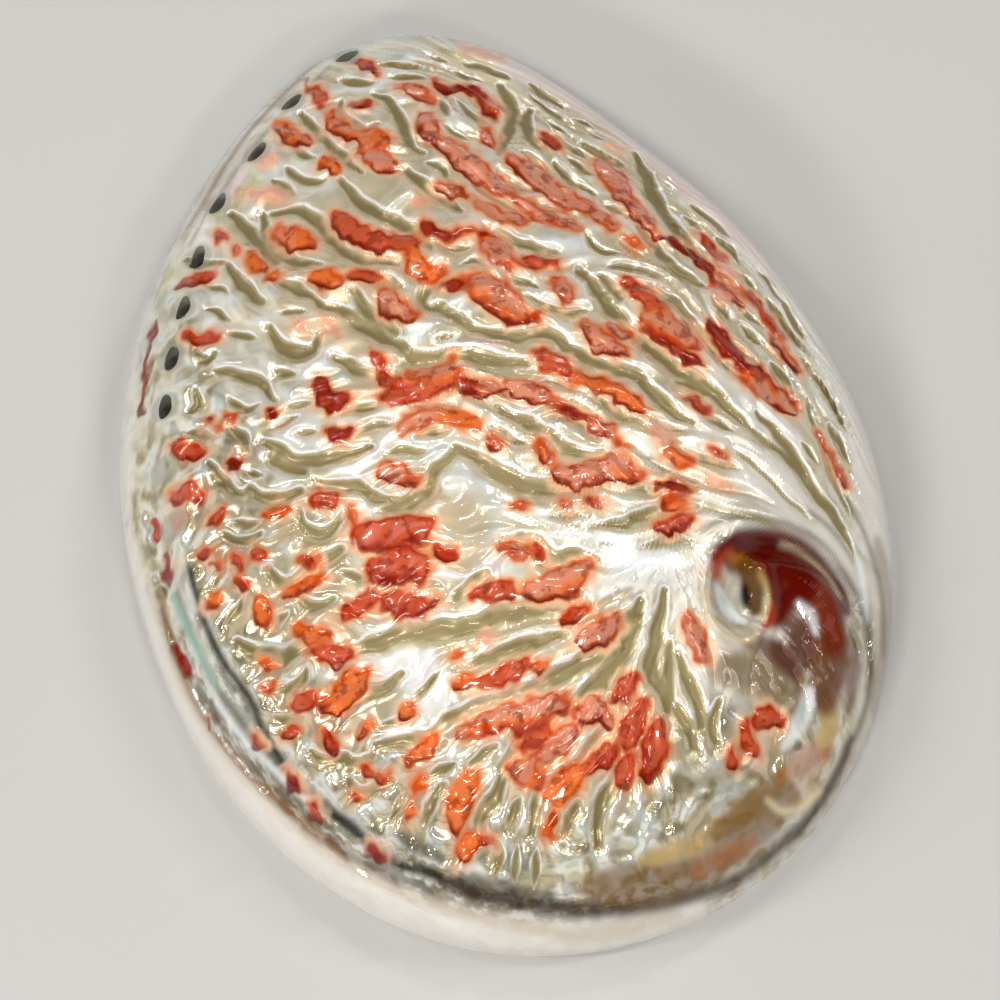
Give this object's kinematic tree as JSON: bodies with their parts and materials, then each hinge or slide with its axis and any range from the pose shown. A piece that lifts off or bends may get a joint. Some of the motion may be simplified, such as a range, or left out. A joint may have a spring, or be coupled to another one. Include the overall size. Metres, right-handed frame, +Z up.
{
  "type": "abalone shell",
  "caption": "Polished perlemoen abalone shell with a row of open holes, wavy growth ridges and a low coiled spire, lying on its rim with the hollow side down.",
  "frame": {"origin": "on the surface that the rim rests on, under the middle of the shell's box", "axes": "+Y along the shell towards the end with the newest hole, +X away from the row of holes, +Z up out of the domed outside"},
  "size_m": [0.127, 0.1652, 0.0465],
  "materials": {
    "polished_nacre": "polished mother of pearl, grey-beige with cream highlights and orange-red patches"
  },
  "bodies": {
    "root": {"abalone_shell": "polished_nacre"}
  },
  "joints": []
}
